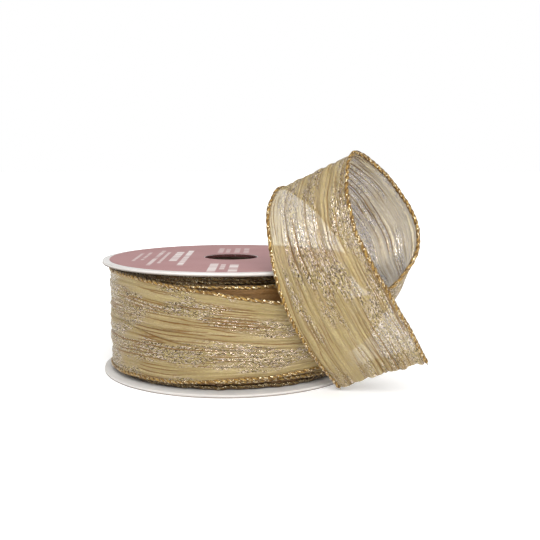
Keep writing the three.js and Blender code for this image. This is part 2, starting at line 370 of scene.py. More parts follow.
def cloth_material(name, opacity, depth=1.0, shade=None):
    """Sheer crinkled cloth: matte yarn, silvery film yarn with painted glints and painted dark
    reflections, and dense brown creases, some of them painted shade. A given shade is painted over most of
    the colour.
    """
    make = Nodes(name, Sheen_Weight=0.06, Sheen_Roughness=0.4)
    mm = make.attribute("ribbon_mm", vector=True)
    crease = make.times(make.span(make.attribute("crease"), 0.10, 0.50), 0.96)
    streaks = make.noise(mm, (0.028, 1.0), 3.0, 0.6)
    folds = make.noise(mm, (0.016, 0.40), 3.0, 0.62)
    fine = make.noise(mm, (0.10, 2.6), 2.0, 0.6)
    broad = make.noise(mm, (0.03, 0.07), 1.0)
    broken = make.noise(mm, (0.05, 0.55), 2.0)
    glint_zone = make.span(make.noise(mm, (0.03, 0.13), 2.0, 0.6), 0.43, 0.54)
    line = make.apart(folds, 0.5)
    line = make.span(line, 0.006, 0.03, 1.0, 0.0)
    lines = make.times(line, make.span(broken, 0.40, 0.60))
    hair = make.apart(streaks, 0.52)
    hair = make.times(make.span(hair, 0.008, 0.04, 1.0, 0.0), 0.22)
    dense = make.math("MAXIMUM", crease, make.times(lines, 0.45))
    dense = make.math("MAXIMUM", dense, hair)
    threads_random = make.cells(mm, 1.6, 5.0)
    pick = make.part(threads_random, 0)
    film = make.span(make.math("ADD", pick, make.times(fine, 0.6)), 0.62, 0.78)
    film = make.times(film, make.math("SUBTRACT", 1.0, dense))
    film = make.times(film, make.blend(glint_zone, 0.45, 1.0))
    yarn = make.ramp(broad, 0.3, 0.7, (0.67, 0.56, 0.26), (0.70, 0.575, 0.285))
    yarn = make.mix(make.span(streaks, 0.25, 0.7), rgb(0.40, 0.295, 0.095), yarn)
    yarn = make.mix(make.span(pick, 0.1, 0.9, 0.0, 0.34), yarn, rgb(0.30, 0.205, 0.07))
    film_color = make.ramp(fine, 0.3, 0.7, (0.45, 0.325, 0.165), (0.68, 0.515, 0.33))
    # Painted glints and painted dark reflections: in glint zones the film's own silvery colour goes to
    # pale or near-black cells.
    glint_pick = make.part(threads_random, 2)
    foil_and_painted_glints = make.ramp(glint_pick, 0.48, 0.62, (0.06, 0.03, 0.014), (0.93, 0.81, 0.72))
    film_color = make.mix(make.times(glint_zone, 0.8), film_color, foil_and_painted_glints)
    surface = make.mix(film, yarn, film_color)
    # Dense creases go dark brown; on the tucked start this is painted shade.
    surface = make.mix(make.times(dense, 0.95 * depth), surface, rgb(0.17, 0.066, 0.006))
    # Painted shade: a given shade colour covers most of the colour.
    if shade:
        surface = make.mix(0.8, surface, shade)
    tilt = make.part(threads_random, 1)
    tilt_along = make.part(threads_random, 2)
    tilt_along = make.span(tilt_along, 0.0, 1.0, 0.46, 0.54)
    tilt = make.span(tilt, 0.0, 1.0, 0.28, 0.72)
    normal_color = make.node("CombineXYZ", {0: tilt_along, 1: tilt, 2: 1.0})
    tilted = make.node("NormalMap", {"Strength": 1.0, "Color": normal_color}, uv_map="ribbon")
    normal = make.bump(streaks, 1.0, 0.0008, tilted)
    normal = make.bump(fine, 0.35, 0.00012, normal)
    thin = make.span(fine, 0.3, 0.8, 0.06, -0.06)
    alpha = make.math("ADD", make.times(dense, 0.9 - opacity), opacity)
    alpha = make.math("ADD", alpha, thin, clamp=True)
    make.set(Metallic=make.times(film, 0.9), Roughness=make.blend(film, 0.6, 0.2))
    make.set(Normal=normal, Alpha=alpha)
    return make.painted(surface)


def thread_material(name="gold_thread", light=1.0):
    """Twisted gold metallic thread, with painted shade in its grooves."""

    # A light below 1 paints the whole thread darker as shade.
    def lit(*color):
        return rgb(*(channel * light for channel in color))

    make = Nodes(name, Sheen_Weight=0.1)
    groove = make.attribute("groove")
    place = make.attribute("cord_mm", vector=True)
    wraps = make.noise(place, (5.0, 1.2), 2.0)
    glint = make.noise(place, (1.6, 0.9), 2.0, 0.7)
    bright = lit(0.56, 0.44, 0.18)
    gold = make.mix(make.span(glint, 0.42, 0.68), lit(0.26, 0.14, 0.025), bright)
    gold = make.mix(make.span(wraps, 0.35, 0.75), lit(0.34, 0.195, 0.04), gold)
    # Painted shade in the grooves between the plies.
    color = make.mix(make.span(groove, 0.25, 0.85), gold, lit(0.10, 0.045, 0.010))
    worn = make.noise(place, (0.22, 0.3), 2.0)
    color = make.mix(make.span(worn, 0.40, 0.66, 0.0, 0.7), color, lit(0.15, 0.075, 0.018))
    specks = make.part(make.cells(place, 2.6, 1.9), 0)
    speck = make.span(specks, 0.80, 0.86)
    color = make.mix(make.times(speck, 0.8), color, rgb(0.80, 0.70, 0.48))
    normal = make.bump(wraps, 0.8, 0.00016)
    make.set(Metallic=make.math("MAXIMUM", speck, 0.6), Roughness=make.blend(speck, 0.42, 0.2))
    make.set(Normal=normal)
    return make.painted(color)


def board_material():
    """White-faced paperboard whose cut rim shows its grey plies. The rim's lower part is darker with
    painted shade, and the hole wall is a dark red-brown, partly painted shade.
    """
    make = Nodes("paperboard", roughness=0.8)
    place = make.place()
    fibre = make.noise(make.stretch(place, 1.0, 1.0, 3.0), 1400.0, 3.0, 0.6)
    cloud = make.noise(place, 60.0, 2.0)
    rim = make.attribute("rim")
    plies = make.noise(place, (30.0, 30.0, 5200.0), 2.0)
    face = make.ramp(cloud, 0.3, 0.7, (0.66, 0.64, 0.62), (0.72, 0.705, 0.685))
    board_height = make.attribute("board_height")
    # Painted shade: the rim is much darker towards its lower face.
    shaded_low_ply = make.ramp(plies, 0.35, 0.65, (0.16, 0.13, 0.105), (0.29, 0.25, 0.215))
    high_ply = make.ramp(plies, 0.35, 0.65, (0.56, 0.53, 0.50), (0.70, 0.675, 0.645))
    edge = make.mix(make.span(board_height, 0.15, 0.6), shaded_low_ply, high_ply)
    color = make.mix(rim, face, edge)
    # The hole wall's dark red-brown is a red tint with painted shade.
    color = make.mix(make.attribute("hole"), color, rgb(0.075, 0.014, 0.012))
    color = make.mix(make.span(fibre, 0.55, 0.8, 0.0, 0.35), color, rgb(0.58, 0.55, 0.51))
    make.set(Roughness=make.span(fibre, 0.2, 0.8, 0.7, 0.9))
    make.set(Normal=make.bump(make.math("ADD", fibre, make.times(plies, rim)), 0.35, 0.0001))
    return make.painted(color)


# Columns of generic print bars, as middle x, half width, low y, high y and strength
PRINT_COLUMNS = [
    (-36.5, 0.6, -15, 12, 0.5), (-33.5, 0.6, -12, 15, 0.5), (-29.0, 0.8, -28, 22, 0.6),
    (-26.0, 0.6, -22, 16, 0.5), (-21.5, 1.5, -15, 17, 0.85), (-17.5, 1.1, -28, 22, 0.85),
    (-5.2, 1.1, 13, 32, 0.35), (-2.2, 0.9, 14, 30, 0.35), (1.6, 1.1, 13, 32, 0.35),
    (5.4, 1.1, 13, 32, 0.35), (-5.0, 1.5, -46, -23, 0.75), (-1.6, 0.9, -40, -25, 0.6),
    (2.4, 1.6, -47, -24, 0.8),
]


def label_material():
    """Rose paper with columns of pale generic print bars."""
    make = Nodes("label_paper", roughness=0.55, Coat_Weight=0.08, Coat_Roughness=0.35)
    place = make.place()
    x = make.math("DIVIDE", make.math("SUBTRACT", make.part(place, 0), AXIS[0]), MM)
    y = make.part(place, 1)
    y = make.math("DIVIDE", make.math("SUBTRACT", y, AXIS[1]), MM)
    ink = None
    for column, (middle_x, half, low, high, strength) in enumerate(PRINT_COLUMNS):
        off = make.apart(x, middle_x)
        inside = make.span(off, half - 0.15, half + 0.15, strength, 0.0)
        off = make.apart(y, (low + high) / 2)
        reach = (high - low) / 2
        inside = make.times(inside, make.span(off, reach - 0.3, reach, 1, 0))
        run = make.node("CombineXYZ", {0: make.times(y, 0.62), 1: column * 7.3, 2: 0.0})
        words = make.span(make.noise(run, 1.0, 0.0), 0.36, 0.42)
        inside = make.times(inside, words)
        ink = inside if ink is None else make.math("MAXIMUM", ink, inside)
    fibre = make.noise(place, 2600.0, 2.0)
    cloud = make.noise(place, 70.0, 2.0)
    paper = make.ramp(cloud, 0.3, 0.7, (0.375, 0.175, 0.172), (0.405, 0.20, 0.196))
    paper = make.mix(make.span(fibre, 0.3, 0.8, 0.0, 0.25), paper, rgb(0.48, 0.25, 0.245))
    color = make.mix(ink, paper, rgb(0.83, 0.77, 0.74))
    make.set(Normal=make.bump(fibre, 0.25, 0.00005), Roughness=make.span(fibre, 0.2, 0.8, 0.48, 0.62))
    return make.painted(color)


def core_material():
    """Spiral-wound greyboard tube."""
    make = Nodes("greyboard", roughness=0.9)
    place = make.place()
    fibre = make.noise(place, 1500.0, 3.0, 0.65)
    band = make.noise(place, (20.0, 20.0, 160.0), 2.0)
    color = make.ramp(band, 0.35, 0.65, (0.10, 0.06, 0.04), (0.15, 0.10, 0.07))
    color = make.mix(make.span(fibre, 0.5, 0.8), color, rgb(0.33, 0.25, 0.19))
    make.set(Normal=make.bump(fibre, 0.5, 0.0002))
    return make.painted(color)


def glue_material():
    """Cloudy dried hot glue."""
    make = Nodes("hot_glue", roughness=0.35, Coat_Weight=0.2, Coat_Roughness=0.2)
    place = make.place()
    cloud = make.noise(place, 260.0, 3.0)
    color = make.ramp(cloud, 0.3, 0.7, (0.62, 0.53, 0.36), (0.78, 0.70, 0.52))
    make.set(Normal=make.bump(cloud, 0.6, 0.0005), Roughness=make.span(cloud, 0.2, 0.8, 0.25, 0.5))
    return make.painted(color)


def tape_material():
    """Clear tape, yellowed and scuffed."""
    make = Nodes("clear_tape", roughness=0.3, Coat_Weight=0.3, Coat_Roughness=0.15)
    place = make.place()
    scuff = make.noise(place, (900.0, 900.0, 60.0), 3.0)
    color = make.ramp(scuff, 0.4, 0.7, (0.70, 0.62, 0.44), (0.83, 0.77, 0.62))
    make.set(Normal=make.bump(scuff, 0.3, 0.0001), Roughness=make.span(scuff, 0.3, 0.7, 0.2, 0.45))
    return make.painted(color)


def wire_material():
    """Thin drawn steel wire."""
    make = Nodes("edge_wire", metallic=1.0)
    place = make.place()
    drawn = make.noise(place, 4000.0, 2.0)
    color = make.mix(drawn, rgb(0.42, 0.38, 0.32), rgb(0.66, 0.62, 0.54))
    make.set(Roughness=make.span(drawn, 0.2, 0.8, 0.25, 0.45), Normal=make.bump(drawn, 0.2, 0.00003))
    return make.painted(color)


def floor_material():
    """Pale paper that fades to white far away."""
    make = Nodes("floor", roughness=0.9)
    place = make.place()
    grain = make.noise(place, 40.0, 2.0)
    far = make.span(make.node("VectorMath", {0: place}, output=1, operation="LENGTH"), 0.1, 0.5, 0.25, 1.0)
    make.set(**{"Emission Color": rgb(1, 1, 1), "Emission Strength": far})
    return make.painted(make.mix(grain, rgb(0.93, 0.93, 0.93), rgb(0.96, 0.96, 0.96)))


# --- Ribbon surface ---


def turn_edges(angle, step):
    """The last turn's upper and lower edge at an angle. step is its place, 0 at the exit."""
    flare = min(max(1 - (EXIT_ANGLE - angle) / FLARE_SPAN, 0), 1)
    tuck = float(smooth((TUCK_STEP + 1.5 - step) / 2.5))
    radius = TURN_RADIUS - TUCK_DEPTH * tuck
    outer = radius + EXIT_FLARE * flare**3
    height = TURN_HIGH + (EXIT_HIGH - TURN_HIGH) * flare
    height += EDGE_ARCH * math.sin(math.pi * smooth((flare + 0.3) / 1.3))
    height -= TUCK_DROP * tuck
    turn = np.array([math.cos(angle), math.sin(angle), 0])
    up = np.array([0, 0, 1.0])
    return outer * turn + height * up, radius * turn + (TURN_LOW + TUCK_RISE * tuck) * up


def edge_points():
    """The points that the ribbon's two edges pass through, with one more beyond each end."""
    steps = range(FIRST_STEP - 1, 0)
    turn = [turn_edges(EXIT_ANGLE + step * TURN_STEP, step) for step in steps]
    upper = [edges[0] for edges in turn] + [np.array(p, float) for p in UPPER_STATIONS]
    lower = [edges[1] for edges in turn] + [np.array(p, float) for p in LOWER_STATIONS]
    for edge in (upper, lower):
        edge.append(2 * edge[-1] - edge[-2])
    return np.array(upper), np.array(lower)


def through(points, place):
    """A uniform Catmull-Rom curve through the edge's points, at an array of places."""
    t = place - (FIRST_STEP - 1)
    i = np.clip(np.floor(t).astype(int), 1, len(points) - 3)
    f = (t - i)[:, None]
    a, b, c, d = points[i - 1], points[i], points[i + 1], points[i + 2]
    slope, bend = 2 * a - 5 * b + 4 * c - d, 3 * b - a - 3 * c + d
    return 0.5 * (2 * b + (c - a) * f + slope * f**2 + bend * f**3)


UPPER_EDGE, LOWER_EDGE = edge_points()


def places():
    """Places along the whole ribbon about ALONG_STEP apart, and the row where each segment starts."""
    rows, starts = [], []
    for _, first, last in SEGMENTS:
        fine = np.linspace(first, last, 400)
        line = (through(UPPER_EDGE, fine) + through(LOWER_EDGE, fine)) / 2
        length = np.linalg.norm(np.diff(line, axis=0), axis=1).sum()
        count = int(round(length / ALONG_STEP))
        starts.append(sum(len(row) for row in rows))
        rows.append(np.linspace(first, last, count + 1)[:-1])
    starts.append(sum(len(row) for row in rows))
    rows.append(np.array([SEGMENTS[-1][2]]))
    return np.concatenate(rows), starts


# Layers of crinkles: length and width of a ridge in millimetres, its depth, and how dark it creases
CRINKLES = [(60, 2.3, 0.50, 0.9), (24, 1.15, 0.26, 0.85), (34, 1.7, 0.12, 0.7)]
CREASE_WIDTH = 0.20  # millimetres from a crease's middle to where it fades
CREASE_SLOPE = 0.45  # a ridge flatter than this gives only a faint crease


def crinkle(along, across, seed=0):
    """Height in millimetres of the puckered cloth, and how deep in a crease each point is."""
    wander = 1.6 * noise(seed + 1, along / 45, across / 10) + 0.3 * noise(seed + 2, along / 12, across / 5)
    height, crease = 0, 0
    for number, (long, wide, deep, mark) in enumerate(CRINKLES):
        ridge = noise(seed + 11 + number, along / long, (across + wander) / wide)
        height = height + deep * (np.minimum(np.abs(ridge) * 1.8, 1) ** 0.8 - 0.55)
        strength = smooth(noise(seed + 21 + number, along / 16, across / 5) * 1.3 + 0.45)
        slope = np.abs(np.gradient(ridge, axis=1) / np.gradient(across, axis=1))
        away = np.abs(ridge) / np.maximum(slope, CREASE_SLOPE)
        sharp = smooth(slope / CREASE_SLOPE)
        crease = np.maximum(crease, mark * strength * sharp * np.exp(-((away / CREASE_WIDTH) ** 2)))
    billow = 0.45 * noise(seed + 31, along / 17, across / 13)
    return height + billow, crease


LONG_CREASE_DEPTH = 0.55
LONG_CREASE_WIDTH = 0.42

# The long crease that runs down round the last turn, as angle in degrees and height
LONG_CREASE = [(-200, 29), (-178, 27.5), (-157, 24), (-132, 21), (-108, 17.5), (-88, 16), (-66, 16.5)]


def long_crease(angle, height):
    """1 in the long crease's valley, falling off to each side."""
    angles, heights = np.array(LONG_CREASE, float).T
    valley = np.interp(np.degrees(angle), angles, heights)
    fade = smooth((np.degrees(angle) + 205) / 15) * smooth((-58 - np.degrees(angle)) / 15)
    return fade * np.exp(-(((height - valley) / LONG_CREASE_WIDTH) ** 2))


PLACES, STARTS = places()
CLOTH_WIDTH = RIBBON_WIDTH - 2 * CLOTH_MARGIN
ACROSS = np.linspace(CLOTH_MARGIN, RIBBON_WIDTH - CLOTH_MARGIN, int(CLOTH_WIDTH / ACROSS_STEP) + 1)


def ribbon_frame():
    """For each row: its two edges after their small waves, the distance along, and directions."""
    upper, lower = through(UPPER_EDGE, PLACES), through(LOWER_EDGE, PLACES)
    line = (upper + lower) / 2
    steps = np.linalg.norm(np.diff(line, axis=0), axis=1)
    along = np.concatenate([[0], np.cumsum(steps)])
    width = unit(upper - lower)
    normal = unit(np.cross(np.gradient(line, axis=0), width))
    # The lower edge is raised on the last turn, most at the exit, and not where it is tucked under
    lift = 0.7 + 0.5 * smooth((PLACES + 5.5) / 3) + 2.1 * smooth((PLACES + 3) / 3)
    lower[:, 2] += lift * (1 - smooth((PLACES - 0.4) / 2.2)) * (1 - smooth((TUCK_STEP + 2 - PLACES) / 2.5))
    # Each edge is waved in place
    for edge, seed in ((upper, 51), (lower, 61)):
        edge += width * (0.28 * wave(seed, along / 8))[:, None]
        edge += normal * (0.22 * wave(seed + 1, along / 6) + 0.15 * wave(seed + 2, along / 2.5))[:, None]
    return upper, lower, along, width, normal, unit(np.gradient(line, axis=0))


UPPER, LOWER, ALONG, WIDTH, NORMAL, TANGENT = ribbon_frame()


def ribbon_grid():
    """The whole ribbon's cloth as a grid of points, their normals, and their crease depths with painted
    shade on the tucked start.
    """
    share = (ACROSS / RIBBON_WIDTH)[None, :, None]
    flat = LOWER[:, None] * (1 - share) + UPPER[:, None] * share
    along = np.repeat(ALONG[:, None], len(ACROSS), 1)
    across = np.repeat(ACROSS[None, :], len(ALONG), 0)
    height, crease = crinkle(along, across)
    angle = (EXIT_ANGLE + PLACES * TURN_STEP)[:, None]
    valley = np.where(PLACES[:, None] < 1, long_crease(angle, flat[..., 2]), 0)
    bound = smooth((ACROSS - CLOTH_MARGIN) / 2.5) * smooth((RIBBON_WIDTH - CLOTH_MARGIN - ACROSS) / 2.5)
    height = (height - LONG_CREASE_DEPTH * valley) * bound[None, :]
    broken = 0.55 + 0.45 * noise(93, along / 14, across / 9)
    crease = np.maximum(crease, 0.95 * valley * broken)
    crease *= 1 - FREE_EASE * smooth((PLACES - 1) / 3)[:, None]
    # Painted shade: the tucked start is marked as a full crease, so it takes the dark crease colour, for
    # the shade under the ribbon that leaves and under the flange.
    crease = np.maximum(crease, smooth((TUCK_STEP - 0.6 - PLACES) / 1.1)[:, None])
    fold = np.exp(-(((PLACES - FOLD_BULGE_PLACE) / FOLD_BULGE_SPREAD) ** 2))[:, None]
    height = height + FOLD_BULGE * fold * np.sin(np.pi * (ACROSS / RIBBON_WIDTH) ** 1.6)[None, :]
    points = flat + NORMAL[:, None] * height[..., None]
    ragged = 0.7 * noise(91, across / 5.5, 0 * across) + 0.35 * noise(92, across / 1.7, 0 * across)
    ragged = ragged * smooth((PLACES[:, None] - RAGGED_FROM) / 0.6) * bound[None, :]
    points += TANGENT[:, None] * ragged[..., None]
    normals = unit(np.cross(np.gradient(points, axis=0), np.gradient(points, axis=1)))
    return points, normals, crease


CLOTH, CLOTH_NORMALS, CREASE_AND_SHADE = ribbon_grid()


def ribbon_fields(rows):
    """Attributes and texture coordinates of some rows of the ribbon."""
    along = np.repeat(ALONG[rows, None], len(ACROSS), 1)
    across = np.repeat(ACROSS[None, :], along.shape[0], 0)
    # The crease attribute also carries the tucked start's painted shade.
    fields = {"ribbon_mm": np.stack([along, across, 0 * along], -1), "crease": CREASE_AND_SHADE[rows]}
    return fields, np.stack([along, across], -1) / 100


def ribbon_segment(number, cloth, thread, wire):
    """One segment's cloth, two bound edges and two wires."""
    name, _, _ = SEGMENTS[number]
    rows = slice(STARTS[number], STARTS[number + 1] + 1)
    fields, uv = ribbon_fields(rows)
    pieces = [sheet_piece(f"{name}_ribbon", CLOTH[rows], CLOTH_NORMALS[rows], cloth, fields, uv)]
    along = ALONG[rows]
    fine = np.linspace(along[0], along[-1], int((along[-1] - along[0]) / CORD_STEP) + 2)
    last = number == len(SEGMENTS) - 1
    for side, edge, inset in (("upper", UPPER, -EDGE_INSET), ("lower", LOWER, EDGE_INSET)):
        path = spread(edge[rows] + WIDTH[rows] * inset, along, fine)
        across = spread(WIDTH[rows], along, fine)
        seed = 70 if side == "upper" else 80
        cord = cord_piece(
            f"{name}_{side}_binding", path, across, fine, thread,
            CORD_RADIUS, CORD_SIDES, CORD_LOBES, CORD_PITCH, seed=seed,
        )
        if last:
            path = np.concatenate([path, path[-1:] + unit(path[-1:] - path[-2:-1]) * WIRE_END])
            across = np.concatenate([across, across[-1:]])
            fine_wire = np.append(fine, fine[-1] + WIRE_END)
        else:
            fine_wire = fine
        strand = cord_piece(
            f"{name}_{side}_wire_core", path, across, fine_wire, wire,
            WIRE_RADIUS, WIRE_SIDES, 0, CORD_PITCH,
        )
        pieces += [cord, strand]
    return pieces


def hem_piece(cloth):
    """The layer of the cut end that is turned under, behind the ribbon's last few millimetres."""
    first = int(np.searchsorted(ALONG, ALONG[-1] - HEM_DEPTH))
    rows = slice(first, len(ALONG))
    fields, uv = ribbon_fields(rows)
    fields["ribbon_mm"][..., 0] = 2 * ALONG[-1] - fields["ribbon_mm"][..., 0]
    points = CLOTH[rows] - CLOTH_NORMALS[rows] * HEM_GAP
    return sheet_piece("loop_hem", points, CLOTH_NORMALS[rows], cloth, fields, uv)


def spread(values, at, where):
    """Values known at some distances, at other distances."""
    return np.stack([np.interp(where, at, values[:, k]) for k in range(3)], -1)


# --- Wound ribbon ---

# The turns that show above and below the last one: radius, upper edge's height, how far that edge
# dips beside the exit, and lower edge's height
UNDER_TURNS = [(44.2, 40.4, 2.6, 1.5), (43.0, 40.9, 1.3, 1.9), (41.8, 41.1, 0.4, 1.6)]
RING_STEPS = 720
UNDER_COLUMNS = 90
UNDER_PUCKER = 0.6  # height of the wound turns' crinkles, against 1 for the last turn
UNDER_INSET = 0.25  # how far their cloth lies inside their bound edges
UNDER_CORD_RADIUS, UNDER_CORD_SIDES, UNDER_CORD_STEP = 0.72, 12, 0.35
DIP_ANGLE, DIP_SPAN = math.radians(-58), math.radians(95)
PACK_RADIUS = 42.2
PACK_INNER_RADIUS = 21.6
PACK_LOW, PACK_HIGH = 2.2, 39.2
PACK_MIDDLE, PACK_FACES = 20, 15  # height of its middle, and how far from there its faces begin
TURN_PITCH = 0.62
RIDGE = 0.5  # depth of the grooves between the inner turns' edges
COIL_CORD_RADIUS, COIL_CORD_SIDES = 0.75, 10
COIL_INNER_RADIUS, COIL_OUTER_RADIUS = PACK_INNER_RADIUS + 1.0, UNDER_TURNS[-1][0] - 1.7
COIL_PITCH = 1.75
COIL_STEP = 0.55


def dip(angle):
    """How much the turns below the last one sag at an angle, from 0 to 1, most beside the exit."""
    away = np.abs((angle - DIP_ANGLE + np.pi) % TAU - np.pi)
    return 1 - smooth(away / DIP_SPAN)


def under_turn(number, cloth, thread):
    """A turn of the wound ribbon that shows: its cloth and its two bound edges, each a full ring."""
    radius, high, sag, low = UNDER_TURNS[number]
    angle = around(RING_STEPS)
    ring = outward(angle)
    up = np.array([0, 0, 1.0])
    along = angle * radius
    seed = 100 + 10 * number

    def ring_wave(offset, size, waves):
        shifts = np.random.default_rng(seed + offset).uniform(0, TAU, len(waves))
        total = sum(np.sin(count * angle + shift) for count, shift in zip(waves, shifts))
        return size * total / len(waves)

    upper = high - sag * dip(angle) + ring_wave(1, 0.35, (5, 13, 29, 47))
    lower = low + ring_wave(2, 0.55, (4, 11, 23, 41))
    away = radius + ring_wave(3, 0.25, (7, 19, 31, 53))
    share = np.linspace(0, 1, UNDER_COLUMNS)[None, :]
    across = share * CLOTH_WIDTH + CLOTH_MARGIN
    wide, long = np.broadcast_arrays(across, along[:, None])
    height, crease = crinkle(long, wide, seed)
    fade = smooth(np.minimum(angle, TAU - angle) / 0.15)[:, None]
    bound = smooth(across / 3) * smooth((RIBBON_WIDTH - across) / 3)
    reach = away[:, None] + UNDER_PUCKER * height * fade * bound - UNDER_INSET
    tall = lower[:, None] * (1 - share) + upper[:, None] * share
    points = ring[:, None] * reach[..., None] + up * tall[..., None]
    ahead = np.roll(points, -1, 0) - np.roll(points, 1, 0)
    normals = unit(np.cross(ahead, np.gradient(points, axis=1)))
    fields = {"ribbon_mm": np.stack([long, wide, 0 * wide], -1), "crease": crease * fade}
    uv = np.stack([long, wide], -1) / 100
    pieces = [sheet_piece(f"wound_turn_{number + 1}", points, normals, cloth, fields, uv, ring=True)]
    turns = round(TAU * radius / CORD_PITCH)
    fine = around(int(TAU * radius / UNDER_CORD_STEP))
    out = outward(fine)
    for side, level, inset in (("upper", upper, -EDGE_INSET), ("lower", lower, EDGE_INSET)):
        place = np.interp(fine, angle, away, period=TAU)
        tall = np.interp(fine, angle, level + inset, period=TAU)
        path = out * place[:, None] + up * tall[:, None]
        pitch = TAU * radius / turns
        pieces.append(
            cord_piece(
                f"wound_turn_{number + 1}_{side}_binding", path, out, fine * radius, thread,
                UNDER_CORD_RADIUS, UNDER_CORD_SIDES, CORD_LOBES, pitch, ring=True, seed=seed + 3,
            )
        )
    return pieces


def on_face(height):
    """Whether a height belongs to the upper or lower face of the inner turns."""
    return np.abs(height - PACK_MIDDLE) > PACK_FACES


def wound_body(cloth):
    """The inner turns as one ring: a fine ridge for each turn on its upper and lower face."""
    angle = around(360)
    reach = np.arange(PACK_INNER_RADIUS, PACK_RADIUS, TURN_PITCH / 2)
    groove = RIDGE * (np.arange(len(reach)) % 2)
    wall = np.linspace(PACK_HIGH - 1, PACK_LOW + 1, 40)
    bore = np.linspace(PACK_LOW + 1, PACK_HIGH - 1, 8)
    sides = np.full(len(wall), PACK_RADIUS), np.full(len(bore), PACK_INNER_RADIUS)
    radius = np.concatenate([reach, sides[0], reach[::-1], sides[1]])
    height = np.concatenate([PACK_HIGH - groove, wall, PACK_LOW + groove, bore])
    a, r = np.meshgrid(angle, radius, indexing="ij")
    z = np.broadcast_to(height, a.shape)
    sway = np.sin(3 * a + r) * 0.25 + np.sin(7 * a + 2.1 * r) * 0.15 + np.sin(23 * a + 5 * r) * 0.08
    z = z + sway * np.where(z > PACK_MIDDLE, 1, -1) * on_face(z)
    points = np.stack([r * np.cos(a), r * np.sin(a), z], -1)
    faces = grid_faces(len(angle), len(radius), close_rows=True, close_columns=True)
    across = np.broadcast_to(np.where(on_face(z), r * 4, z), a.shape)
    fields = {
        "ribbon_mm": np.stack([a * r, across, 0 * a], -1).reshape(-1, 3),
        "crease": np.full(a.size, 0.35),
    }
    uv = np.stack([a * r, across], -1).reshape(-1, 2) / 100
    return make_piece("wound_inner_turns", points.reshape(-1, 3), faces, cloth, fields, uv)


def coil_binding(name, high, thread):
    """The stacked bound edges of the inner turns, as one flat spiral of cord."""
    inner = COIL_INNER_RADIUS
    length = np.pi * (COIL_OUTER_RADIUS**2 - inner**2) / COIL_PITCH
    along = np.arange(0, length, COIL_STEP)
    radius = np.sqrt(inner**2 + along * COIL_PITCH / np.pi)
    angle = TAU * (radius - inner) / COIL_PITCH
    height = high + 0.3 * wave(int(high) + 7, angle * 3.1) + 0.25 * wave(int(high) + 9, angle * 0.7)
    path = np.stack([radius * np.cos(angle), radius * np.sin(angle), height], -1)
    side = outward(angle)
    return cord_piece(
        name, path, side, along, thread, COIL_CORD_RADIUS, COIL_CORD_SIDES, CORD_LOBES, CORD_PITCH,
    )


# --- Spool ---


def lathe(name, profile, material, steps, wobble, fields=None):
    """A closed ring with a profile of [radius, height] points, anticlockwise in that plane."""
    profile = np.array(profile, float)
    angle = around(steps)
    a, r = np.meshgrid(angle, profile[:, 0], indexing="ij")
    z = np.broadcast_to(profile[:, 1], a.shape)
    r, z = wobble(a, r, z)
    points = np.stack([r * np.cos(a), r * np.sin(a), z], -1).reshape(-1, 3)
    faces = grid_faces(steps, len(profile), flip=True, close_rows=True, close_columns=True)
    values = {key: np.tile(value, steps) for key, value in (fields or {}).items()}
    return make_piece(name, points, faces, material, values)


def rounded(inner, outer, low, high, corner, rings=14, arc_steps=5):
    """A ring's profile with rounded corners and points spread over its two faces."""
    profile = []

    def arc(centre_r, centre_z, start):
        for k in range(arc_steps + 1):
            t = start + k / arc_steps * np.pi / 2
            profile.append((centre_r + corner * np.cos(t), centre_z + corner * np.sin(t)))

    profile += [(r, low) for r in np.linspace(inner + 2 * corner, outer - 2 * corner, rings)]
    arc(outer - corner, low + corner, -np.pi / 2)
    profile += [(outer, z) for z in np.linspace(low + corner, high - corner, 5)[1:-1]]
    arc(outer - corner, high - corner, 0)
    profile += [(r, high) for r in np.linspace(outer - 2 * corner, inner + 2 * corner, rings)]
    arc(inner + corner, high - corner, np.pi / 2)
    profile += [(inner, z) for z in np.linspace(high - corner, low + corner, 4)[1:-1]]
    arc(inner + corner, low + corner, np.pi)
    return profile


def flange(name, low, material, seed):
    """A paperboard disc with a slightly uneven rim. It marks its rim, its hole, and each point's height
    through the board, which sets the rim's painted shade.
    """
    high = low + FLANGE_THICKNESS
    profile = rounded(HUB_HOLE_RADIUS, FLANGE_RADIUS, low, high, BOARD_CORNER, rings=40)
    radii, heights = np.array(profile).T
    fields = {
        "rim": (radii > FLANGE_RADIUS - RIM_DEPTH) * 1.0,
        "hole": (radii < HUB_HOLE_RADIUS + RIM_DEPTH) * 1.0,
        "board_height": (heights - low) / (high - low),
    }

    def wobble(a, r, z):
        outer = smooth((r - FLANGE_RADIUS + 1.5) / 1.5)
        turn = a / TAU
        nick = noise(seed, turn * 256, z * 3) * 0.05 + noise(seed + 1, turn * 128, z * 0 + 0.5) * 0.05
        wave_z = 0.06 * np.sin(2 * a + seed) * (r / FLANGE_RADIUS) ** 2
        return r - np.abs(nick) * outer, z + wave_z

    return lathe(name, profile, material, steps=512, wobble=wobble, fields=fields)


def label(material):
    """The printed paper disc on the upper flange, slightly curled."""
    low, high = LABEL_LOW.z, LABEL_HIGH.z
    corner = (high - low) / 2.2
    profile = rounded(LABEL_HOLE_RADIUS, LABEL_RADIUS, low, high, corner, rings=40, arc_steps=3)

    def wobble(a, r, z):
        curl = 0.05 * np.sin(2 * a + 3) * (r / FLANGE_RADIUS) ** 2
        return r + 0.03 * np.sin(9 * a) * (r > LABEL_RADIUS - 1), z + curl

    return lathe("rose_label", profile, material, steps=512, wobble=wobble)


